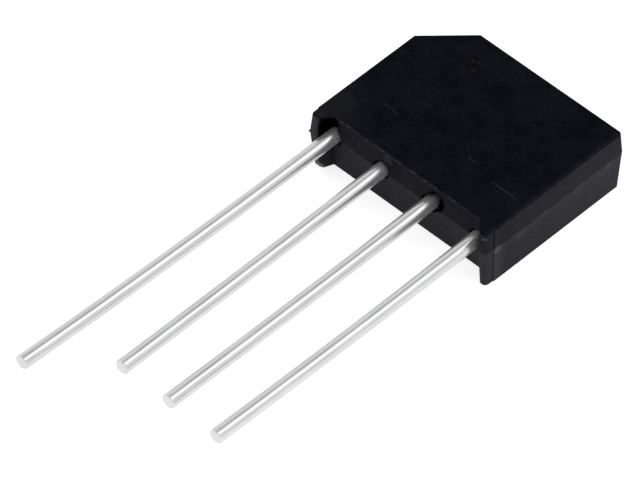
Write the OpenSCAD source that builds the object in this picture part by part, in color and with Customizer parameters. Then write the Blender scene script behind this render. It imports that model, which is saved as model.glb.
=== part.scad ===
// Single-in-line bridge rectifier: a moulded epoxy block with a cut corner, two stand-off feet
// and four round leads in a row, one of them longer. Inside, four diode chips are soldered
// between the coined blades of the leads and two cross bars. Units are millimetres.
// The block lies on its back. X runs along the lead row, the leads point to -Y, and the marked
// front face looks up. The origin is the middle of the back face.

/* [Moulded body] */

// Width of the block along the lead row, at the parting line
body_width = 19; // [18.5:0.1:20.5]
// Height of the block from the lead side to the far side, at the parting line
body_height = 14.6; // [14:0.1:15.5]
// Thickness from the back face to the front face
body_thickness = 5.8; // [5.6:0.1:7]
// Height of the parting line and of the lead axes above the back face
parting_height = 3.9; // [3.6:0.05:4.2]
// Slope of the ends and of the far side away from the parting line, in degrees
side_draft = 4.3; // [2:0.1:6]
// Slope of the lead side away from the parting line, in degrees
lead_side_draft = 8.5; // [4:0.1:9]
// Leg of the 45 degree cut corner that marks the plus lead
corner_cut = 3.7; // [2.5:0.05:3.9]
// Radius of the upright corner across from the cut one
corner_radius = 0.55; // [0.5:0.05:1]

/* [Stand-off feet] */

// How far the feet stand out from the lead side
foot_height = 0.87; // [0.6:0.01:1.2]
// Width of a foot at its tip
foot_tip_width = 0.8; // [0.6:0.02:1]
// Slant of a foot's inner side from straight, in degrees
foot_slant = 42; // [20:1:50]
// Slope of a foot's sides away from the parting line, in degrees
foot_draft_angle = 2.5; // [1:0.1:4]
// Step from the end of the block in to the outer side of a foot
foot_step = 0.07; // [0.04:0.01:0.15]

/* [Leads] */

// Distance between neighbouring leads
lead_pitch = 5.08; // [4.8:0.02:5.3]
// Diameter of the round leads
lead_diameter = 1.25; // [1.1:0.01:1.35]
// Length of the minus lead and of the two AC leads, from the lead side
lead_length = 28.2; // [19:0.1:30]
// Length of the plus lead, from the lead side
plus_lead_length = 33.1; // [25:0.1:36]
// Gap between a lead and the wall of its entry recess
recess_gap = 0.22; // [0.15:0.01:0.3]
// Depth of the entry recesses
recess_depth = 0.5; // [0.3:0.05:0.8]
// Distance from the plane of the foot tips to where the straight part of a lead ends
straight_margin = 0.07; // [0.06:0.01:0.2]
// How much the radius of a lead falls from there to the floor of its recess, as the tin coat thins
coat_thinning = 0.02; // [0.01:0.01:0.04]
// Length over which a lead tapers from round to its blade, behind the recess
taper_length = 0.7; // [0.5:0.05:1]
// Chamfer round the cut end of a lead
tip_chamfer = 0.1; // [0.05:0.01:0.2]
// Radius of the void that the moulding left beside the entry of the second AC lead
void_radius = 0.85; // [0.6:0.05:0.95]

/* [Inner blades and bars] */

// Thickness of the coined blade at the inner end of each lead
blade_thickness = 0.5; // [0.4:0.02:0.6]
// Width of the coined blades
blade_width = 2.45; // [2.2:0.05:2.8]
// Length over which a blade widens from the lead
blade_flare = 1.2; // [0.8:0.05:1.5]
// Radius of the two notches that anchor a blade in the moulding
anchor_notch_radius = 0.35; // [0.2:0.05:0.45]
// Distance from the lead side to the middle of the minus bar
minus_row = 4.9; // [4.6:0.1:5.1]
// Distance from the lead side to the middle of the plus bar
plus_row = 9.3; // [8.8:0.1:9.6]
// Width of the plus and minus bars
bar_width = 2.1; // [1.6:0.1:2.4]
// Thickness of the plus and minus bars
bar_thickness = 0.5; // [0.3:0.05:0.8]
// Corner radius of the plus and minus bars
bar_corner_radius = 0.4; // [0.2:0.05:0.6]
// How far a bar or a blade reaches past the chip that it carries last
chip_margin = 0.18; // [0.1:0.02:0.3]

/* [Diode chips and solder] */

// Side of a diode chip
chip_size = 2; // [1.7:0.05:2.1]
// Thickness of a diode chip
chip_thickness = 0.26; // [0.2:0.02:0.4]
// Width of the glass-covered step round the chip's anode side
chip_step_width = 0.18; // [0.1:0.02:0.25]
// Height of that step
chip_step_height = 0.08; // [0.04:0.02:0.12]
// Thickness of each solder joint
solder_thickness = 0.06; // [0.04:0.01:0.1]
// How far a solder joint stays inside the edge of the face that it wets
solder_inset = 0.08; // [0.04:0.02:0.14]

/* [Hidden] */

$fn = 64;

// Reach of the blocks that only trim something else, and how far a cut runs past its face
far = 3 * (body_width + body_height);
overshoot = corner_radius;

// Lead row
lead_radius = lead_diameter / 2;
plus_x = -1.5 * lead_pitch;
ac_1_x = -0.5 * lead_pitch;
ac_2_x = 0.5 * lead_pitch;
minus_x = 1.5 * lead_pitch;
lead_side_y = -body_height / 2;
round_end_y = lead_side_y + recess_depth;
taper_end_y = round_end_y + taper_length;
straight_end_y = lead_side_y - foot_height - straight_margin;
root_radius = lead_radius - coat_thinning;
taper_end_radius = 0.45 * (lead_radius + blade_thickness / 2);

// Stack between the blades and the bars, from the AC blades down
ac_blade_bottom = parting_height - blade_thickness / 2;
chip_top = ac_blade_bottom - solder_thickness;
chip_bottom = chip_top - chip_thickness;
bar_top = chip_bottom - solder_thickness;
pole_blade_bottom = bar_top + solder_thickness;
minus_bar_y = lead_side_y + minus_row;
plus_bar_y = lead_side_y + plus_row;
ac_blade_end_y = plus_bar_y + chip_size / 2 + chip_margin;
chip_mesa_size = chip_size - 2 * chip_step_width;

// Narrow neck of a blade, inside the taper
neck_width = lead_radius;
neck_y = round_end_y + taper_length / 2;

// One side of the moulding as a block that is cut off by the side alone. The side looks
// along `heading`, lies `reach` from the origin at the parting line, and slopes back by
// `draft` both up and down from there.
module drafted_side(heading, reach, draft)
{
    back_inset = parting_height * tan(draft);
    front_inset = (body_thickness - parting_height) * tan(draft);
    rotate([0, 0, heading])
        translate([0, far, 0])
            rotate([90, 0, 0])
                linear_extrude(2 * far)
                    polygon([[-far, 0], [reach - back_inset, 0], [reach, parting_height],
                             [reach - front_inset, body_thickness], [-far, body_thickness]]);
}

// The block without its feet. The cut corner is its fifth side.
module epoxy_block()
{
    cut_reach = (body_width / 2 + body_height / 2 - corner_cut) * sin(45);
    intersection()
    {
        drafted_side(0, body_width / 2, side_draft);
        drafted_side(90, body_height / 2, side_draft);
        drafted_side(135, cut_reach, side_draft);
        drafted_side(180, body_width / 2, side_draft);
        drafted_side(270, body_height / 2, lead_side_draft);
    }
}

// Rounded upright corner: two cones, base to base at the parting line
module corner_cones()
{
    back_radius = corner_radius - parting_height * tan(side_draft);
    front_radius = corner_radius - (body_thickness - parting_height) * tan(side_draft);
    cylinder(h = parting_height, r1 = back_radius, r2 = corner_radius);
    translate([0, 0, parting_height])
        cylinder(h = body_thickness - parting_height, r1 = corner_radius, r2 = front_radius);
}

module rounded_block()
{
    corner_x = body_width / 2 - corner_radius;
    corner_y = body_height / 2 - corner_radius;
    difference()
    {
        epoxy_block();
        translate([corner_x, corner_y, -overshoot])
            cube([corner_radius + overshoot, corner_radius + overshoot, body_thickness + 2 * overshoot]);
    }
    translate([corner_x, corner_y, 0])
        corner_cones();
}

// Foot at the minus end. Its inner side slants from a wide root to the narrow tip, and its
// root lies inside the block.
module foot()
{
    outer_x = body_width / 2 - foot_step;
    tip_y = lead_side_y - foot_height;
    slant_heading = 180 + foot_slant;
    tip_corner_x = outer_x - foot_tip_width;
    slant_reach = tip_corner_x * cos(slant_heading) + tip_y * sin(slant_heading);
    root_y = lead_side_y + body_thickness * tan(lead_side_draft);
    intersection()
    {
        drafted_side(0, outer_x, side_draft);
        drafted_side(270, -tip_y, side_draft);
        drafted_side(slant_heading, slant_reach, foot_draft_angle);
        translate([0, root_y - far, 0])
            cube([far, far, body_thickness]);
    }
}

// Round pocket that leaves each lead free where it comes out
module entry_recess(x)
{
    mouth_y = lead_side_y - foot_height - overshoot;
    translate([x, mouth_y, parting_height])
        rotate([-90, 0, 0])
            cylinder(h = lead_side_y + recess_depth - mouth_y, r = lead_radius + recess_gap);
}

// Void beside the second AC lead, towards the minus lead and the front face
module entry_void()
{
    offset_from_lead = lead_radius;
    translate([ac_2_x + offset_from_lead, lead_side_y + recess_depth / 3, parting_height + offset_from_lead])
        sphere(r = void_radius);
}

// Round part of a lead, from its cut end to the taper inside the moulding. It is straight as far
// as a board or a socket can reach, which is the plane of the foot tips.
module round_lead(length)
{
    tip_y = lead_side_y - length;
    straight_y = tip_y + tip_chamfer;
    rotate([-90, 0, 0])
    {
        translate([0, 0, tip_y])
            cylinder(h = tip_chamfer, r1 = lead_radius - tip_chamfer, r2 = lead_radius);
        translate([0, 0, straight_y])
            cylinder(h = straight_end_y - straight_y, r = lead_radius);
        translate([0, 0, straight_end_y])
            cylinder(h = round_end_y - straight_end_y, r1 = lead_radius, r2 = root_radius);
        translate([0, 0, round_end_y])
            cylinder(h = taper_length, r1 = root_radius, r2 = taper_end_radius);
    }
}

// A lead: round outside, with a coined blade at its inner end. It is one piece.
module lead(x, length, blade_bottom, blade_end_y)
{
    flare_end_y = taper_end_y + blade_flare;
    notch_y = flare_end_y + anchor_notch_radius / 2;
    translate([x, 0, parting_height])
        round_lead(length);
    translate([x, 0, blade_bottom])
        difference()
        {
            linear_extrude(blade_thickness)
                polygon([[-neck_width / 2, neck_y], [neck_width / 2, neck_y],
                         [blade_width / 2, flare_end_y], [blade_width / 2, blade_end_y],
                         [-blade_width / 2, blade_end_y], [-blade_width / 2, flare_end_y]]);
            for (side = [-1, 1])
                translate([side * blade_width / 2, notch_y, -overshoot])
                    cylinder(h = blade_thickness + 2 * overshoot, r = anchor_notch_radius);
        }
}

// Cross bar from x_start to x_end, with rounded corners
module cross_bar(x_start, x_end, middle_y)
{
    inner = bar_corner_radius;
    low_y = middle_y - bar_width / 2;
    high_y = middle_y + bar_width / 2;
    translate([0, 0, bar_top - bar_thickness])
    {
        translate([x_start + inner, low_y, 0])
            cube([x_end - x_start - 2 * inner, bar_width, bar_thickness]);
        translate([x_start, low_y + inner, 0])
            cube([x_end - x_start, bar_width - 2 * inner, bar_thickness]);
        for (x = [x_start + inner, x_end - inner], y = [low_y + inner, high_y - inner])
            translate([x, y, 0])
                cylinder(h = bar_thickness, r = bar_corner_radius);
    }
}

// Square plate centred on x, y with its bottom at z
module square_plate(x, y, z, size, thickness)
{
    translate([x - size / 2, y - size / 2, z])
        cube([size, size, thickness]);
}

// Diode chip. Its anode side is the smaller face of the step.
module diode_chip(x, y, anode_up)
{
    full_bottom = anode_up ? chip_bottom : chip_bottom + chip_step_height;
    mesa_bottom = anode_up ? chip_top - chip_step_height : chip_bottom;
    square_plate(x, y, full_bottom, chip_size, chip_thickness - chip_step_height);
    square_plate(x, y, mesa_bottom, chip_mesa_size, chip_step_height);
}

module blade_solder(x, y, anode_up)
{
    face = anode_up ? chip_mesa_size : chip_size;
    square_plate(x, y, chip_top, face - 2 * solder_inset, solder_thickness);
}

module bar_solder(x, y, anode_up)
{
    face = anode_up ? chip_size : chip_mesa_size;
    square_plate(x, y, bar_top, face - 2 * solder_inset, solder_thickness);
}

module pole_solder(x, y)
{
    square_plate(x, y, bar_top, min(bar_width, blade_width) - 2 * (bar_corner_radius + solder_inset),
                 solder_thickness);
}

module lead_plus()
{
    color("silver") lead(plus_x, plus_lead_length, pole_blade_bottom, plus_bar_y + bar_width / 2);
}

module lead_ac_1()
{
    color("silver") lead(ac_1_x, lead_length, ac_blade_bottom, ac_blade_end_y);
}

module lead_ac_2()
{
    color("silver") lead(ac_2_x, lead_length, ac_blade_bottom, ac_blade_end_y);
}

module lead_minus()
{
    color("silver") lead(minus_x, lead_length, pole_blade_bottom, minus_bar_y + bar_width / 2);
}

// The plus bar joins the cathodes of two chips to the plus lead
module bar_plus()
{
    color("peru") cross_bar(plus_x - blade_width / 2, ac_2_x + chip_size / 2 + chip_margin, plus_bar_y);
}

// The minus bar joins the anodes of the other two to the minus lead
module bar_minus()
{
    color("peru") cross_bar(ac_1_x - chip_size / 2 - chip_margin, minus_x + blade_width / 2, minus_bar_y);
}

module chip_ac_1_plus()
{
    color("dimgray") diode_chip(ac_1_x, plus_bar_y, true);
}

module chip_ac_2_plus()
{
    color("dimgray") diode_chip(ac_2_x, plus_bar_y, true);
}

module chip_ac_1_minus()
{
    color("dimgray") diode_chip(ac_1_x, minus_bar_y, false);
}

module chip_ac_2_minus()
{
    color("dimgray") diode_chip(ac_2_x, minus_bar_y, false);
}

module solder_blade_ac_1_plus()
{
    color("lightgray") blade_solder(ac_1_x, plus_bar_y, true);
}

module solder_blade_ac_2_plus()
{
    color("lightgray") blade_solder(ac_2_x, plus_bar_y, true);
}

module solder_blade_ac_1_minus()
{
    color("lightgray") blade_solder(ac_1_x, minus_bar_y, false);
}

module solder_blade_ac_2_minus()
{
    color("lightgray") blade_solder(ac_2_x, minus_bar_y, false);
}

module solder_bar_ac_1_plus()
{
    color("lightgray") bar_solder(ac_1_x, plus_bar_y, true);
}

module solder_bar_ac_2_plus()
{
    color("lightgray") bar_solder(ac_2_x, plus_bar_y, true);
}

module solder_bar_ac_1_minus()
{
    color("lightgray") bar_solder(ac_1_x, minus_bar_y, false);
}

module solder_bar_ac_2_minus()
{
    color("lightgray") bar_solder(ac_2_x, minus_bar_y, false);
}

module solder_lead_plus()
{
    color("lightgray") pole_solder(plus_x, plus_bar_y);
}

module solder_lead_minus()
{
    color("lightgray") pole_solder(minus_x, minus_bar_y);
}

// Everything that the epoxy is moulded round
module circuit()
{
    lead_plus();
    lead_ac_1();
    lead_ac_2();
    lead_minus();
    bar_plus();
    bar_minus();
    chip_ac_1_plus();
    chip_ac_2_plus();
    chip_ac_1_minus();
    chip_ac_2_minus();
    solder_blade_ac_1_plus();
    solder_blade_ac_2_plus();
    solder_blade_ac_1_minus();
    solder_blade_ac_2_minus();
    solder_bar_ac_1_plus();
    solder_bar_ac_2_plus();
    solder_bar_ac_1_minus();
    solder_bar_ac_2_minus();
    solder_lead_plus();
    solder_lead_minus();
}

module moulded_body()
{
    color("#26262b")
        difference()
        {
            union()
            {
                rounded_block();
                foot();
                mirror([1, 0, 0])
                    foot();
            }
            for (x = [plus_x, ac_1_x, ac_2_x, minus_x])
                entry_recess(x);
            entry_void();
            circuit();
        }
}

moulded_body();
lead_plus();
lead_ac_1();
lead_ac_2();
lead_minus();
bar_plus();
bar_minus();
chip_ac_1_plus();
chip_ac_2_plus();
chip_ac_1_minus();
chip_ac_2_minus();
solder_blade_ac_1_plus();
solder_blade_ac_2_plus();
solder_blade_ac_1_minus();
solder_blade_ac_2_minus();
solder_bar_ac_1_plus();
solder_bar_ac_2_plus();
solder_bar_ac_1_minus();
solder_bar_ac_2_minus();
solder_lead_plus();
solder_lead_minus();
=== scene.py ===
"""Bridge rectifier lying on a pale light table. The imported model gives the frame; this script
gives the moulding, the leads and the inner metal their surfaces. Shapes are worked out in
millimetres and scaled to metres when a piece is finished."""

import math

import bmesh
import bpy
from mathutils import Matrix, Vector, noise


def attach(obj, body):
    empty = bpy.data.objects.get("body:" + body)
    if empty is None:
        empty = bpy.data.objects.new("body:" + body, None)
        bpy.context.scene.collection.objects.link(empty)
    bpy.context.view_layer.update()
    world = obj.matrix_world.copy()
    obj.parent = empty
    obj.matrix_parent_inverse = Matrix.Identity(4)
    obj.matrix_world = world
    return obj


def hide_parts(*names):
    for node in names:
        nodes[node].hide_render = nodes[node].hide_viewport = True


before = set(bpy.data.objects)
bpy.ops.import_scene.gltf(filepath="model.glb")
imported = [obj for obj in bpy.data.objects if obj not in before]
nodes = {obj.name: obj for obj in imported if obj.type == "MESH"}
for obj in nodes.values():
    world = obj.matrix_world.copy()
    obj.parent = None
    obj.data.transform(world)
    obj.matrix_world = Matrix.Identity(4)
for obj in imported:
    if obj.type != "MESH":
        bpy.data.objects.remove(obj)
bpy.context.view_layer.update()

MM = 0.001

# Moulded block, in millimetres
BODY_WIDTH = 19.0
BODY_HEIGHT = 14.6
BODY_THICKNESS = 5.8
PARTING = 3.9
SIDE_DRAFT = 4.3
LEAD_SIDE_DRAFT = 8.5
CORNER_CUT = 3.7
CORNER_RADIUS = 0.55
CORNER_FACETS = 8
LEAD_SIDE = -BODY_HEIGHT / 2
EDGE_RADIUS = 0.05
FLASH_HALF_THICKNESS = 0.015
FLASH_REACH = 0.010

# Stand-off feet
FOOT_HEIGHT = 0.87
FOOT_STEP = 0.07
# Width of the tip, slant and draft of a foot's inner side. The plus foot is wider behind the parting line
FLANK = (0.8, 42.0, 2.5)
PLUS_BACK_FLANK = (1.68, 22.0, 12.3)
# How much of the toe is rubbed off at the back, at the minus end and at the plus end
TOE_CHAMFERS = {1: 0.06, -1: 0.34}
FOOT_CORNER_RADIUS = 0.28
# Distance from the middle at which the upright lip beside a foot starts
LIP_START = 8.9

# Leads: distance along the row, length from the lead side, how far the cut end stands to the
# side of its straight place, and how far the middle bows
PITCH = 5.08
LEAD_RADIUS = 0.625
LEADS = {
    "lead_plus": (-1.5 * PITCH, 33.1, -0.50, 0.20),
    "lead_ac_1": (-0.5 * PITCH, 28.2, 0.15, 0.06),
    "lead_ac_2": (0.5 * PITCH, 28.2, 0.01, 0.08),
    "lead_minus": (1.5 * PITCH, 28.2, -0.07, 0.11),
}
LEAD_TIP_RADIUS = 0.085
RECESS_GAP = 0.22
RECESS_DEPTH = 0.5

# Voids that the moulding left: middle, half sizes, and power of the rounding. 2 is a ball, 4 boxy
VOID_RADIUS = 0.85
VOIDS = [
    ((PITCH / 2 + LEAD_RADIUS, LEAD_SIDE + RECESS_DEPTH / 3, PARTING + LEAD_RADIUS),
     (VOID_RADIUS,) * 3, 2),
    ((-7.85, -7.60, 4.70), (0.62, 0.80, 0.98), 4),
]
INNER_NODES = [name for name in nodes if name != "moulded_body" and name not in LEADS]


# ---------------------------------------------------------------- shapes

def everything(mesh):
    return mesh.verts[:] + mesh.edges[:] + mesh.faces[:]


def piece_from(mesh, name):
    """Turns a bmesh into an object, in the units that it was made in."""
    bmesh.ops.recalc_face_normals(mesh, faces=mesh.faces)
    data = bpy.data.meshes.new(name)
    mesh.to_mesh(data)
    mesh.free()
    piece = bpy.data.objects.new(name, data)
    bpy.context.scene.collection.objects.link(piece)
    return piece


def drafted_side(heading, reach, draft):
    """The two planes of one moulded side. They meet at the parting line and slope back from it."""
    way = math.radians(heading)
    out = Vector((math.cos(way), math.sin(way), 0))
    point = reach * out + Vector((0, 0, PARTING))
    lean = Vector((0, 0, math.tan(math.radians(draft))))
    return [(point, out + lean), (point, out - lean)]


def cut_block(low, high, planes):
    """A box from low to high that keeps only what lies behind each plane."""
    block = bmesh.new()
    low, high = Vector(low), Vector(high)
    place = Matrix.LocRotScale((low + high) / 2, None, high - low)
    bmesh.ops.create_cube(block, size=1, matrix=place)
    for point, normal in planes:
        cut = bmesh.ops.bisect_plane(block, geom=everything(block), dist=1e-5, plane_co=point,
                                     plane_no=normal, clear_outer=True)
        rim = [part for part in cut["geom_cut"] if isinstance(part, bmesh.types.BMEdge)]
        if rim:
            bmesh.ops.edgeloop_fill(block, edges=rim)
    bmesh.ops.recalc_face_normals(block, faces=block.faces)
    return block


def sharp_edges(block, angle):
    return [edge for edge in block.edges
            if len(edge.link_faces) == 2 and edge.calc_face_angle(0) > math.radians(angle)]


def round_off(block, edges, width, segments=3):
    bmesh.ops.bevel(block, geom=edges, offset=width, offset_type="OFFSET", affect="EDGES",
                    segments=segments, profile=0.5, material=-1, clamp_overlap=True)


def block_sides(grow=0.0, flat=False, lead_draft=LEAD_SIDE_DRAFT):
    """Planes of the block's sides. With flat they have no draft, for the flash at the parting line."""
    draft = 0 if flat else SIDE_DRAFT
    lead_draft = 0 if flat else lead_draft
    cut_reach = (BODY_WIDTH / 2 + BODY_HEIGHT / 2 - CORNER_CUT) * math.sin(math.radians(45))
    sides = [(0, BODY_WIDTH / 2, draft), (90, BODY_HEIGHT / 2, draft), (135, cut_reach, draft),
             (180, BODY_WIDTH / 2, draft), (270, BODY_HEIGHT / 2, lead_draft)]
    middle = Vector((BODY_WIDTH / 2 - CORNER_RADIUS, BODY_HEIGHT / 2 - CORNER_RADIUS))
    for facet in range(1, CORNER_FACETS):
        heading = 90 * facet / CORNER_FACETS
        way = Vector((math.cos(math.radians(heading)), math.sin(math.radians(heading))))
        sides.append((heading, middle.dot(way) + CORNER_RADIUS, draft))
    return [plane for heading, reach, slope in sides
            for plane in drafted_side(heading, reach + grow, slope)]


def foot_sides(flank, chamfer, grow=0.0, flat=False):
    """Planes of the foot at the minus end."""
    tip_width, slant, slant_draft = flank
    outer = BODY_WIDTH / 2 - FOOT_STEP
    tip = LEAD_SIDE - FOOT_HEIGHT
    inward = math.radians(180 + slant)
    slant_reach = (outer - tip_width) * math.cos(inward) + tip * math.sin(inward)
    draft = 0 if flat else SIDE_DRAFT
    slant_draft = 0 if flat else slant_draft
    toe = Vector((0, tip + PARTING * math.tan(math.radians(draft)) + chamfer, 0))
    return (drafted_side(0, outer + grow, draft) + drafted_side(270, -tip + grow, draft)
            + drafted_side(180 + slant, slant_reach + grow, slant_draft) + [(toe, Vector((0, -1, -1)))])


def foot_root():
    """How far along Y the feet and lips reach into the block."""
    return LEAD_SIDE + BODY_THICKNESS * math.tan(math.radians(LEAD_SIDE_DRAFT))


def combine(target, tool, operation):
    """Joins tool to target or cuts it out, and removes tool."""
    step = target.modifiers.new(operation, "BOOLEAN")
    step.operation = operation
    step.solver = "MANIFOLD"
    step.object = tool
    made = bpy.data.meshes.new_from_object(target.evaluated_get(bpy.context.evaluated_depsgraph_get()))
    target.modifiers.clear()
    target.data = made
    bpy.data.objects.remove(tool)


def rod(start, end, radius, segments=64):
    """Closed cylinder along Y."""
    bar = bmesh.new()
    turn = Matrix.Rotation(math.radians(90), 4, "X")
    place = Matrix.Translation((Vector(start) + Vector(end)) / 2) @ turn
    bmesh.ops.create_cone(bar, cap_ends=True, segments=segments, radius1=radius, radius2=radius,
                          depth=abs(end[1] - start[1]), matrix=place)
    return bar


def cad_copy(node):
    """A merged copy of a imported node, in millimetres."""
    copy = bmesh.new()
    copy.from_mesh(nodes[node].data)
    bmesh.ops.scale(copy, vec=(1 / MM,) * 3, verts=copy.verts)
    bmesh.ops.remove_doubles(copy, verts=copy.verts, dist=1e-3)
    return copy


def shade(piece, angle=25):
    """Smooth where faces meet at less than angle."""
    mesh = bmesh.new()
    mesh.from_mesh(piece.data)
    for face in mesh.faces:
        face.smooth = True
    for edge in mesh.edges:
        edge.smooth = not (len(edge.link_faces) == 2 and edge.calc_face_angle(0) > math.radians(angle))
    mesh.to_mesh(piece.data)
    mesh.free()


def finish_piece(piece, replaced, material):
    piece.data.transform(Matrix.Scale(MM, 4))
    piece.data.materials.clear()
    piece.data.materials.append(material)
    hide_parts(replaced)
    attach(piece, "root")


# ---------------------------------------------------------------- moulding

def wide_box(low, high):
    """Corners of a box that reaches past the block on every side, between two heights."""
    return (-BODY_WIDTH, -BODY_WIDTH, low), (BODY_WIDTH, BODY_WIDTH, high)


def footed_block(low, high, grow=0.0, flat=False):
    """The block and its two feet between two heights, as one closed piece."""
    start, end = wide_box(low, high)
    whole = piece_from(cut_block(start, end, block_sides(grow, flat)), "moulding")
    # The lip stands upright beside each foot, where the lead side slopes back from it
    for side in (1, -1):
        back_flank = FLANK if side > 0 else PLUS_BACK_FLANK
        for inner, bottom, top, planes in (
                (LIP_START, low, high, block_sides(grow, flat, SIDE_DRAFT)),
                (0, low, PARTING, foot_sides(back_flank, TOE_CHAMFERS[side], grow, flat)),
                (0, PARTING, high, foot_sides(FLANK, TOE_CHAMFERS[side], grow, flat))):
            part = cut_block((inner, start[1], bottom), (end[0], foot_root(), top), planes)
            if side < 0:
                bmesh.ops.scale(part, vec=(-1, 1, 1), verts=part.verts)
            combine(whole, piece_from(part, "foot"), "UNION")
    return whole


def make_moulding(material):
    moulding = footed_block(0, BODY_THICKNESS)
    outside = bmesh.new()
    outside.from_mesh(moulding.data)
    bmesh.ops.dissolve_limit(outside, angle_limit=math.radians(0.5), verts=outside.verts,
                             edges=outside.edges)
    step = BODY_WIDTH / 2 - 0.5
    tips = LEAD_SIDE - 0.5

    def plain(edge):
        """Not an edge of the narrow step beside a foot, and not the ridge of the parting line."""
        beside = all(abs(v.co.x) > step and v.co.y < LEAD_SIDE + 1 for v in edge.verts)
        tip = all(v.co.y < tips for v in edge.verts)
        return tip or not beside

    def foot_corner(edge):
        """Upright outer edge of a foot."""
        return all(abs(v.co.x) > step and v.co.y < tips for v in edge.verts)

    round_off(outside, [edge for edge in sharp_edges(outside, 60) if foot_corner(edge)],
              FOOT_CORNER_RADIUS, 5)
    round_off(outside, [edge for edge in sharp_edges(outside, 20) if plain(edge) and edge.is_convex],
              EDGE_RADIUS)
    outside.to_mesh(moulding.data)
    outside.free()

    # Flash where the two halves of the mould met
    flash = footed_block(PARTING - FLASH_HALF_THICKNESS, PARTING + FLASH_HALF_THICKNESS, FLASH_REACH, True)
    combine(moulding, flash, "UNION")

    # Round recesses at the leads
    floor = LEAD_SIDE + RECESS_DEPTH
    for x, *_ in LEADS.values():
        pocket = rod((x, LEAD_SIDE - 2, PARTING), (x, floor, PARTING), LEAD_RADIUS + RECESS_GAP)
        combine(moulding, piece_from(pocket, "pocket"), "DIFFERENCE")

    # Voids beside the second AC lead and in the foot beside the plus lead, with torn surfaces
    for middle, size, power in VOIDS:
        void = bmesh.new()
        bmesh.ops.create_icosphere(void, subdivisions=4, radius=1)
        for vert in void.verts:
            rough = 1 + 0.09 * noise.noise(vert.co * 2.3) + 0.03 * noise.noise(vert.co * 7.0)
            vert.co *= rough / sum(abs(value) ** power for value in vert.co) ** (1 / power)
        place = Matrix.LocRotScale(Vector(middle), None, Vector(size))
        bmesh.ops.transform(void, matrix=place, verts=void.verts)
        combine(moulding, piece_from(void, "void"), "DIFFERENCE")

    # The circuit leaves its own cavities
    for name in list(LEADS) + INNER_NODES:
        combine(moulding, piece_from(cad_copy(name), "cavity"), "DIFFERENCE")
    shade(moulding)
    finish_piece(moulding, "moulded_body", material)


# ---------------------------------------------------------------- leads

def make_lead(name, material):
    x, length, tip_shift, bow = LEADS[name]
    tip = LEAD_SIDE - length
    inner_end = LEAD_SIDE + RECESS_DEPTH - 0.12
    wire = rod((x, tip, PARTING), (x, inner_end, PARTING), LEAD_RADIUS, 72)
    rim = [edge for edge in sharp_edges(wire, 60) if min(v.co.y for v in edge.verts) < tip + 0.1]
    round_off(wire, rim, LEAD_TIP_RADIUS, 4)
    stations = 48
    for step in range(1, stations):
        y = LEAD_SIDE + (tip + 0.2 - LEAD_SIDE) * step / stations
        bmesh.ops.bisect_plane(wire, geom=everything(wire), dist=1e-5, plane_co=(0, y, 0),
                               plane_no=(0, 1, 0))
    for vert in wire.verts:
        along = max(0.0, (LEAD_SIDE - vert.co.y) / length)
        vert.co.x += tip_shift * along + bow * 4 * along * (1 - along)
        thin = 0.004 * noise.noise(Vector((x, vert.co.y * 0.35, 0)))
        for axis, middle in ((0, x), (2, PARTING)):
            vert.co[axis] += thin * (vert.co[axis] - middle)
    lead = piece_from(wire, name + "_dressed")

    inside = cad_copy(name)
    cut = bmesh.ops.bisect_plane(inside, geom=everything(inside), dist=1e-5,
                                 plane_co=(0, inner_end - 0.1, 0), plane_no=(0, -1, 0), clear_outer=True)
    rim = [part for part in cut["geom_cut"] if isinstance(part, bmesh.types.BMEdge)]
    bmesh.ops.edgeloop_fill(inside, edges=rim)
    combine(lead, piece_from(inside, "blade"), "UNION")
    shade(lead, 35)
    finish_piece(lead, name, material)


# ---------------------------------------------------------------- materials

class Surface:
    """A material whose nodes are added and wired by name."""

    def __init__(self, name, **settings):
        self.material = bpy.data.materials.new(name)
        self.material.use_nodes = True
        self.tree = self.material.node_tree
        self.shader = self.tree.nodes["Principled BSDF"]
        for socket, value in settings.items():
            self.shader.inputs[socket.replace("_", " ")].default_value = value
        self.place = self.add("ShaderNodeTexCoord").outputs["Object"]

    def add(self, kind, inputs=None, **settings):
        node = self.tree.nodes.new(kind)
        for key, value in settings.items():
            setattr(node, key, value)
        for key, value in (inputs or {}).items():
            if isinstance(value, bpy.types.NodeSocket):
                self.tree.links.new(value, node.inputs[key])
            else:
                node.inputs[key].default_value = value
        return node

    def link(self, value, socket):
        self.tree.links.new(value, self.shader.inputs[socket])

    def sum(self, operation, first, second=0.0):
        return self.add("ShaderNodeMath", {0: first, 1: second}, operation=operation).outputs[0]

    def stretched(self, scale):
        return self.add("ShaderNodeMapping", {"Vector": self.place, "Scale": scale}).outputs[0]

    def noise(self, size, detail=3.0, rough=0.5, place=None):
        """Noise whose features are about size millimetres across."""
        return self.add("ShaderNodeTexNoise", {"Vector": place or self.place, "Scale": 1 / (size * MM),
                                               "Detail": detail, "Roughness": rough}).outputs["Fac"]

    def between(self, value, low, high, to_low=0.0, to_high=1.0, smooth=True):
        return self.add("ShaderNodeMapRange",
                        {"Value": value, "From Min": low, "From Max": high, "To Min": to_low,
                         "To Max": to_high}, clamp=True,
                        interpolation_type="SMOOTHSTEP" if smooth else "LINEAR").outputs["Result"]

    def mix(self, factor, first, second):
        blend = self.add("ShaderNodeMix", data_type="RGBA", blend_type="MIX")
        for socket, value in ((blend.inputs[0], factor), (blend.inputs[6], first), (blend.inputs[7], second)):
            if isinstance(value, bpy.types.NodeSocket):
                self.tree.links.new(value, socket)
            else:
                socket.default_value = value
        return blend.outputs[2]

    def bump(self, height, depth, below=None):
        """Bump of depth millimetres."""
        inputs = {"Height": height, "Distance": depth * MM, "Strength": 1.0}
        if below is not None:
            inputs["Normal"] = below
        return self.add("ShaderNodeBump", inputs).outputs["Normal"]


def grey(value, blue=1.0):
    return (value, value, value * blue, 1.0)


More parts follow.
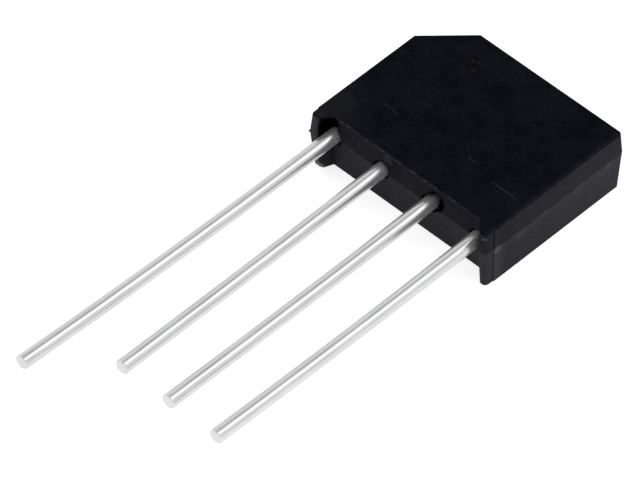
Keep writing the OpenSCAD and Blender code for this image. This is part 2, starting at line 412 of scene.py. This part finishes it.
def epoxy_surface():
    """Matt black moulding compound with fine grain, scuffed edges and faint polarity marks. Light and shade
    are painted into its colour too: on each side and half, on the feet and in the voids.
    """
    skin = Surface("matt_black_moulding_compound", Specular_IOR_Level=0.03,
                   Specular_Tint=(0.90, 0.92, 1.0, 1))
    millimetres = skin.add("ShaderNodeVectorMath", {0: skin.place, "Scale": 1 / MM},
                           operation="SCALE").outputs[0]
    x, y, z = skin.add("ShaderNodeSeparateXYZ", {0: millimetres}).outputs
    grain = skin.noise(0.16, 4.0, 0.6)
    mottle = skin.noise(1.3, 3.0, 0.55)
    cloud = skin.noise(4.5, 2.0, 0.5)

    def times(first, *others):
        for other in others:
            first = skin.sum("MULTIPLY", first, other)
        return first

    def strongest(first, *others):
        for other in others:
            first = skin.sum("MAXIMUM", first, other)
        return first

    def near(value, place, reach, soft=0.03):
        """1 where value is within reach of place."""
        gap = skin.sum("ABSOLUTE", skin.sum("SUBTRACT", value, place))
        return skin.between(gap, reach - soft, reach + soft, 1.0, 0.0)

    def within(middle, reach, soft=0.06):
        """1 inside a ball."""
        gap = skin.add("ShaderNodeVectorMath", {0: millimetres, 1: middle}, operation="DISTANCE")
        return skin.between(gap.outputs["Value"], reach - soft, reach + soft, 1.0, 0.0)

    # Painted light and shade: each side, and each half above and below the parting line, gets its own shade
    # of the one black compound, for the light it gets. The face is the darkest, and the foot tips are paler
    # than the ends, most at the plus end
    fine = skin.noise(0.3, 3.0, 0.65)
    tone = skin.sum("ADD", times(mottle, 0.35), skin.sum("ADD", times(cloud, 0.2), times(fine, 0.45)))
    patchy = skin.between(tone, 0.38, 0.62)
    upper = skin.between(z, PARTING - 0.05, PARTING + 0.05)
    far_end = skin.between(y, -7.0, 7.0, smooth=False)
    # The ends are painted lighter towards the back side, away from the leads, and a little lighter in their
    # lower half
    ends = skin.mix(patchy, (0.0080, 0.0080, 0.0112, 1), (0.0120, 0.0120, 0.0156, 1))
    ends = skin.mix(far_end, ends, skin.mix(patchy, (0.0125, 0.0125, 0.0160, 1), (0.0165, 0.0165, 0.0205, 1)))
    lower = skin.between(z, PARTING + 0.05, PARTING - 0.05)
    ends = skin.mix(times(lower, 0.06), ends, grey(0.042, 1.12))
    # Lead side: its halves above and below the parting line get separate painted shades
    lead_side = skin.mix(upper, skin.mix(patchy, (0.0035, 0.0035, 0.0058, 1), (0.0065, 0.0065, 0.0090, 1)),
                         skin.mix(patchy, (0.0065, 0.0065, 0.0090, 1), (0.0100, 0.0100, 0.0130, 1)))
    # Foot tips: paler at the plus end above the parting line, with a separate painted shade below it
    plus_tip_tone = skin.mix(patchy, (0.024, 0.024, 0.028, 1), (0.031, 0.031, 0.036, 1))
    minus_tip_tone = skin.mix(patchy, (0.0115, 0.0115, 0.0145, 1), (0.0155, 0.0155, 0.0190, 1))
    back_tip = skin.mix(patchy, (0.0195, 0.0195, 0.0240, 1), (0.0245, 0.0245, 0.0290, 1))
    foot_tips = skin.mix(upper, back_tip, skin.mix(skin.between(x, -1.0, 1.0), plus_tip_tone, minus_tip_tone))
    # Outer sides of the feet: painted lighter below the parting line
    foot_outside = skin.mix(upper, skin.mix(patchy, (0.0150, 0.0150, 0.0185, 1), (0.0200, 0.0200, 0.0240, 1)),
                            skin.mix(patchy, (0.0105, 0.0105, 0.0140, 1), (0.0145, 0.0145, 0.0185, 1)))
    # The face, which looks up, is painted darkest: painted shade
    face = skin.mix(patchy, (0.0004, 0.0005, 0.0030, 1), (0.0042, 0.0044, 0.0078, 1))
    on_lead_side = times(skin.between(y, -6.0, -6.1), near(x, 0.0, 9.15))
    # Painted light: the lower half of the lead side is lighter towards the minus end
    lead_side = skin.mix(times(lower, skin.between(x, 4.0, 8.5, 0.08, 0.28)), lead_side, grey(0.042, 1.12))
    colour = skin.mix(on_lead_side, ends, lead_side)
    # Places on the feet are told by how far a point lies along the draft of its side
    from_middle = skin.sum("ABSOLUTE", x)
    from_parting = skin.sum("ABSOLUTE", skin.sum("SUBTRACT", z, PARTING))
    lean_back = times(from_parting, math.tan(math.radians(LEAD_SIDE_DRAFT)))
    toward_tip = skin.sum("SUBTRACT", y, times(from_parting, math.tan(math.radians(SIDE_DRAFT))))
    # Painted shade: the inner flanks of the feet, between foot and lead, are painted near-black
    flanks = times(skin.between(skin.sum("SUBTRACT", y, lean_back), -7.34, -7.44),
                   skin.between(from_middle, 8.55, 8.45))
    flank_painted_shade = skin.mix(patchy, (0.0004, 0.0004, 0.0024, 1), (0.0014, 0.0014, 0.0038, 1))
    colour = skin.mix(flanks, colour, flank_painted_shade)
    outside = skin.between(from_middle, 9.05, 9.15)
    colour = skin.mix(times(skin.between(toward_tip, -7.30, -7.34), outside), colour, foot_outside)
    tips = times(skin.between(toward_tip, -7.86, -8.12), skin.between(from_middle, 8.45, 8.55))
    colour = skin.mix(tips, colour, foot_tips)
    # The face is lighter at its rim by the minus end, and towards its corner at the plus end by the lead side
    rim = strongest(times(skin.between(x, 8.75, 9.35), 0.35),
                    times(skin.between(x, -5.5, -8.5), skin.between(y, -2.5, -6.0), 0.30))
    colour = skin.mix(skin.between(z, 5.72, 5.77), colour, skin.mix(rim, face, grey(0.020, 1.12)))

    def stroke(middle, half_length, half_width):
        return times(near(y, middle[1], half_width), near(x, middle[0], half_length))

    def wave(middle, half_length, height, half_width):
        """A tilde: one turn of a sine."""
        phase = skin.sum("MULTIPLY", skin.sum("SUBTRACT", x, middle[0]), math.pi / half_length)
        swing = skin.sum("MULTIPLY", skin.sum("SINE", phase), -height)
        on_line = near(skin.sum("SUBTRACT", y, swing), middle[1], half_width)
        return times(on_line, near(x, middle[0], half_length))

    # Polarity marks on the front face, mostly worn away
    worn = skin.between(skin.noise(0.7, 3.0, 0.6), 0.42, 0.60)
    minus = stroke((6.92, -3.53), 1.25, 0.05)
    plus = strongest(times(stroke((-5.3, -3.34), 0.75, 0.045), 0.8),
                     times(near(x, -5.3, 0.045), near(y, -3.34, 0.75), worn, 0.35))
    tilde = times(wave((2.3, -2.6), 1.4, 0.35, 0.05), strongest(worn, 0.25), 0.8)
    other_tilde = times(wave((-1.9, -2.6), 1.4, 0.35, 0.05), worn, 0.3)
    marks = strongest(minus, plus, tilde, other_tilde)
    marks = times(marks, skin.between(z, 5.7, 5.75), skin.between(grain, 0.3, 0.6, 0.6, 1.0))
    colour = skin.mix(marks, colour, grey(0.020, 1.1))

    # A dark smudge with brown specks near the cut corner
    smudge = times(within((-4.1, 4.4, 5.8), 0.55, 0.45), skin.between(z, 5.7, 5.75))
    specks = times(within((-3.9, 4.3, 5.8), 0.85, 0.35), skin.between(skin.noise(0.28, 2.0, 0.6), 0.56, 0.66),
                   skin.between(z, 5.7, 5.75))
    colour = skin.mix(times(smudge, 0.8), colour, (0.0008, 0.0008, 0.0010, 1))
    colour = skin.mix(times(specks, 0.55), colour, (0.026, 0.021, 0.013, 1))

    # Scuffs: on the front edges, on the upright edge at the back of the minus end, and round the parting
    # line; and a painted highlight along the upright edge beside the minus foot
    def along_edge(first, second, reach, soft):
        """1 near the line where two coordinates have these values."""
        squares = [skin.sum("POWER", skin.sum("SUBTRACT", value, place), 2.0)
                   for value, place in (first, second)]
        return skin.between(skin.sum("SQRT", skin.sum("ADD", *squares)), reach - soft, reach + soft, 1.0, 0.0)

    rubbed = skin.between(skin.noise(0.55, 3.0, 0.65), 0.42, 0.60)
    blotchy = skin.between(skin.noise(0.9, 4.0, 0.65), 0.44, 0.64)
    broken = skin.between(skin.noise(0.25, 3.0, 0.6), 0.35, 0.6, 0.45, 0.9)
    on_end = skin.between(x, 9.12, 9.18)
    band = times(skin.between(z, 2.5, 3.7), skin.between(z, PARTING + 0.16, PARTING + 0.04), on_end)
    beside_foot = times(skin.between(y, -5.6, -6.9), skin.between(toward_tip, -7.34, -7.30), lower, on_end)
    scuffs_and_step_highlight = strongest(
        times(along_edge((z, 5.78), (y, -7.03), 0.09, 0.07), strongest(rubbed, 0.22),
              near(x, 0.0, 7.6, 0.3), broken),
        times(along_edge((z, 5.78), (x, 9.35), 0.07, 0.04), rubbed, 0.35),
        # Painted highlight: a pale line along the upright edge beside the minus foot, below the parting line
        times(near(toward_tip, -7.24, 0.06), on_end, lower, 0.8),
        times(along_edge((x, 9.26), (y, 7.06), 0.12, 0.06), rubbed, 0.6),
        times(band, strongest(blotchy, 0.25), 0.85),
        times(beside_foot, 0.52),
        times(near(z, PARTING, 0.09, 0.06), on_end, rubbed, 0.9),
        times(near(z, 3.85, 0.10, 0.06), strongest(rubbed, 0.35), 0.35),
        times(within((-1.95, -7.10, 5.35), 0.42, 0.25), on_lead_side, 0.35))
    colour = skin.mix(scuffs_and_step_highlight, colour, grey(0.042, 1.12))

    # Pale nicks: three at the minus foot; and a painted highlight on the toe of the plus foot, where its
    # lower corner catches the light
    plus_toe_highlight = times(skin.between(x, -8.3, -8.4), skin.between(toward_tip, -7.65, -7.8),
                     skin.between(z, 1.0, 0.6))
    nicks_and_highlight = strongest(
        times(within((9.48, -6.98, 3.78), 0.32, 0.26), on_end, 0.6),
        within((8.99, -8.07, 5.36), 0.09, 0.05),
        times(within((9.24, -7.98, 5.44), 0.09, 0.05), 0.6),
        plus_toe_highlight)
    colour = skin.mix(nicks_and_highlight, colour, grey(0.100, 1.08))

    # Painted shade: the torn voids are painted near-black inside, fading out a little beyond their walls
    for middle, size, power in VOIDS:
        inside = skin.add("ShaderNodeMapping", {"Vector": millimetres, "Location": middle, "Scale": size},
                          vector_type="TEXTURE").outputs[0]
        for _ in range(power // 2 - 1):
            inside = skin.add("ShaderNodeVectorMath", {0: inside, 1: inside}, operation="MULTIPLY").outputs[0]
        depth = skin.add("ShaderNodeVectorMath", {0: inside, 1: inside}, operation="DOT_PRODUCT")
        depth = skin.sum("POWER", depth.outputs["Value"], 1 / power)
        colour = skin.mix(skin.between(depth, 1.04, 1.20, 1.0, 0.0), colour, (0.0004, 0.0004, 0.0006, 1))
    skin.link(colour, "Base Color")

    skin.link(skin.between(skin.sum("ADD", grain, times(scuffs_and_step_highlight, 0.3)), 0.3, 0.8, 0.46, 0.64), "Roughness")
    skin.link(skin.bump(grain, 0.012, skin.bump(mottle, 0.012)), "Normal")
    return skin.material


def tin_surface():
    """Bright tin with drawing lines along the lead and a few duller patches."""
    tin = Surface("bright_tin_on_copper", Metallic=0.76)
    drawn = tin.noise(0.10, 4.0, 0.6, tin.stretched((1, 0.02, 1)))
    patch = tin.noise(2.2, 3.0, 0.6, tin.stretched((1, 0.45, 1)))
    pits = tin.noise(0.16, 2.0, 0.5)
    tone = tin.sum("ADD", tin.sum("MULTIPLY", drawn, 0.6), tin.sum("MULTIPLY", patch, 0.4))
    tin.link(tin.mix(tin.between(tone, 0.36, 0.64), (0.585, 0.58, 0.575, 1), (0.67, 0.665, 0.66, 1)),
             "Base Color")
    dullness = tin.sum("ADD", patch, tin.sum("MULTIPLY", drawn, 0.5))
    tin.link(tin.between(dullness, 0.5, 1.0, 0.17, 0.29), "Roughness")
    lines = tin.bump(drawn, 0.0012)
    tin.link(tin.bump(tin.between(pits, 0.62, 0.74), -0.0012, lines), "Normal")
    return tin.material


def copper_surface():
    """Stamped copper with rolling lines and a thin tarnish."""
    copper = Surface("stamped_copper", Metallic=1.0)
    rolled = copper.noise(0.12, 4.0, 0.6, copper.stretched((0.05, 1, 1)))
    tarnish = copper.noise(1.6, 4.0, 0.6)
    copper.link(copper.mix(copper.between(tarnish, 0.40, 0.66), (0.80, 0.44, 0.29, 1), (0.46, 0.22, 0.13, 1)),
                "Base Color")
    copper.link(copper.between(rolled, 0.3, 0.7, 0.26, 0.46), "Roughness")
    copper.link(copper.bump(rolled, 0.004), "Normal")
    return copper.material


def silicon_surface():
    """Sawn silicon with saw lines and a slightly bluish sheen."""
    silicon = Surface("sawn_silicon", Metallic=0.6, IOR=3.4)
    sawn = silicon.noise(0.05, 3.0, 0.6, silicon.stretched((0.08, 1, 1)))
    cloud = silicon.noise(0.7, 3.0, 0.5)
    silicon.link(silicon.mix(silicon.between(cloud, 0.4, 0.6), (0.10, 0.11, 0.14, 1), (0.17, 0.18, 0.21, 1)),
                 "Base Color")
    silicon.link(silicon.between(sawn, 0.3, 0.7, 0.22, 0.40), "Roughness")
    silicon.link(silicon.bump(sawn, 0.002), "Normal")
    return silicon.material


def solder_surface():
    """Dull reflowed solder with a crystalline skin."""
    solder = Surface("reflowed_solder", Metallic=1.0)
    cells = solder.add("ShaderNodeTexVoronoi", {"Vector": solder.place, "Scale": 1 / (0.14 * MM)})
    grains = cells.outputs["Distance"]
    cloud = solder.noise(0.5, 3.0, 0.6)
    solder.link(solder.mix(solder.between(cloud, 0.38, 0.64), (0.42, 0.42, 0.43, 1), (0.60, 0.60, 0.60, 1)),
                "Base Color")
    solder.link(solder.between(grains, 0.0, 0.8, 0.34, 0.52), "Roughness")
    solder.link(solder.bump(grains, 0.006), "Normal")
    return solder.material


# ---------------------------------------------------------------- table, light and camera

def make_table():
    """Large pale light table that the part lies on."""
    sheet = bmesh.new()
    bmesh.ops.create_grid(sheet, x_segments=1, y_segments=1, size=3.0)
    bmesh.ops.translate(sheet, vec=(0, 0, -0.00002), verts=sheet.verts)
    table = piece_from(sheet, "light_table")
    white = Surface("white_acrylic", Roughness=0.7, Specular_IOR_Level=0.1, Emission_Strength=0.74,
                    Emission_Color=(1, 1, 1, 1))
    cloud = white.noise(300, 2.0, 0.5)
    white.link(white.mix(cloud, grey(0.50), grey(0.52)), "Base Color")
    table.data.materials.append(white.material)


def make_light():
    """White tent all round with a narrow gap overhead, and one large soft box behind the part."""
    world = bpy.data.worlds.new("white_tent")
    bpy.context.scene.world = world
    world.use_nodes = True
    tree = world.node_tree
    background = tree.nodes["Background"]

    def step(operation, first, second=0.0):
        node = tree.nodes.new("ShaderNodeMath")
        node.operation = operation
        for socket, value in zip(node.inputs, (first, second)):
            if isinstance(value, bpy.types.NodeSocket):
                tree.links.new(value, socket)
            else:
                socket.default_value = value
        return node.outputs[0]

    way = tree.nodes.new("ShaderNodeTexCoord").outputs["Generated"]
    split = tree.nodes.new("ShaderNodeSeparateXYZ")
    tree.links.new(way, split.inputs[0])
    lean = step("MULTIPLY", step("ARCTAN2", split.outputs["X"], split.outputs["Z"]), 180 / math.pi)
    gap_lean = -14.0
    gap = step("ABSOLUTE", step("SUBTRACT", lean, gap_lean))
    span = tree.nodes.new("ShaderNodeMapRange")
    span.interpolation_type = "SMOOTHSTEP"
    for key, value in (("From Min", 6.0), ("From Max", 12.0), ("To Min", 0.30), ("To Max", 1.0)):
        span.inputs[key].default_value = value
    tree.links.new(gap, span.inputs["Value"])
    tree.links.new(span.outputs["Result"], background.inputs["Strength"])
    background.inputs["Color"].default_value = (0.97, 0.985, 1.0, 1)

    data = bpy.data.lights.new("soft_box", "AREA")
    data.shape = "RECTANGLE"
    data.size, data.size_y = 0.7, 1.3
    data.energy = 1.08 * math.pi * data.size * data.size_y
    lamp = bpy.data.objects.new("soft_box", data)
    bpy.context.scene.collection.objects.link(lamp)
    toward = Vector((0.393, 0.477, 0.788)).normalized()
    distance = 1.5
    # The long side runs along Y, square to the leads' reflections
    across = Vector((0, 1, 0)).cross(toward).normalized()
    along = toward.cross(across).normalized()
    turn = Matrix((across, along, toward)).transposed().to_4x4()
    lamp.matrix_world = Matrix.Translation(toward * distance) @ turn


def make_camera():
    distance = 0.658
    azimuth, elevation, roll = (math.radians(a) for a in (44.293, 47.383, -0.022))
    target = Vector((-5.584, -10.844, -3.554)) * MM
    back = Vector((math.sin(azimuth) * math.cos(elevation), -math.cos(azimuth) * math.cos(elevation),
                   math.sin(elevation)))
    level = Vector((math.cos(azimuth), math.sin(azimuth), 0))
    up = back.cross(level)
    right = math.cos(roll) * level + math.sin(roll) * up
    top = math.cos(roll) * up - math.sin(roll) * level
    data = bpy.data.cameras.new("camera")
    data.sensor_width = 36
    data.lens = 478.51
    data.clip_start, data.clip_end = 0.02, 20
    camera = bpy.data.objects.new("camera", data)
    bpy.context.scene.collection.objects.link(camera)
    turn = Matrix((right, top, back)).transposed().to_4x4()
    camera.matrix_world = Matrix.Translation(target + distance * back) @ turn
    bpy.context.scene.camera = camera


# ---------------------------------------------------------------- the part

make_moulding(epoxy_surface())
tin = tin_surface()
for lead_name in LEADS:
    make_lead(lead_name, tin)

copper, silicon, solder = copper_surface(), silicon_surface(), solder_surface()
for node_name in INNER_NODES:
    kind = node_name.split("_")[0]
    slots = nodes[node_name].data.materials
    slots.clear()
    slots.append({"bar": copper, "chip": silicon, "solder": solder}[kind])

make_table()
make_light()
make_camera()
bpy.context.scene.view_settings.view_transform = "Standard"
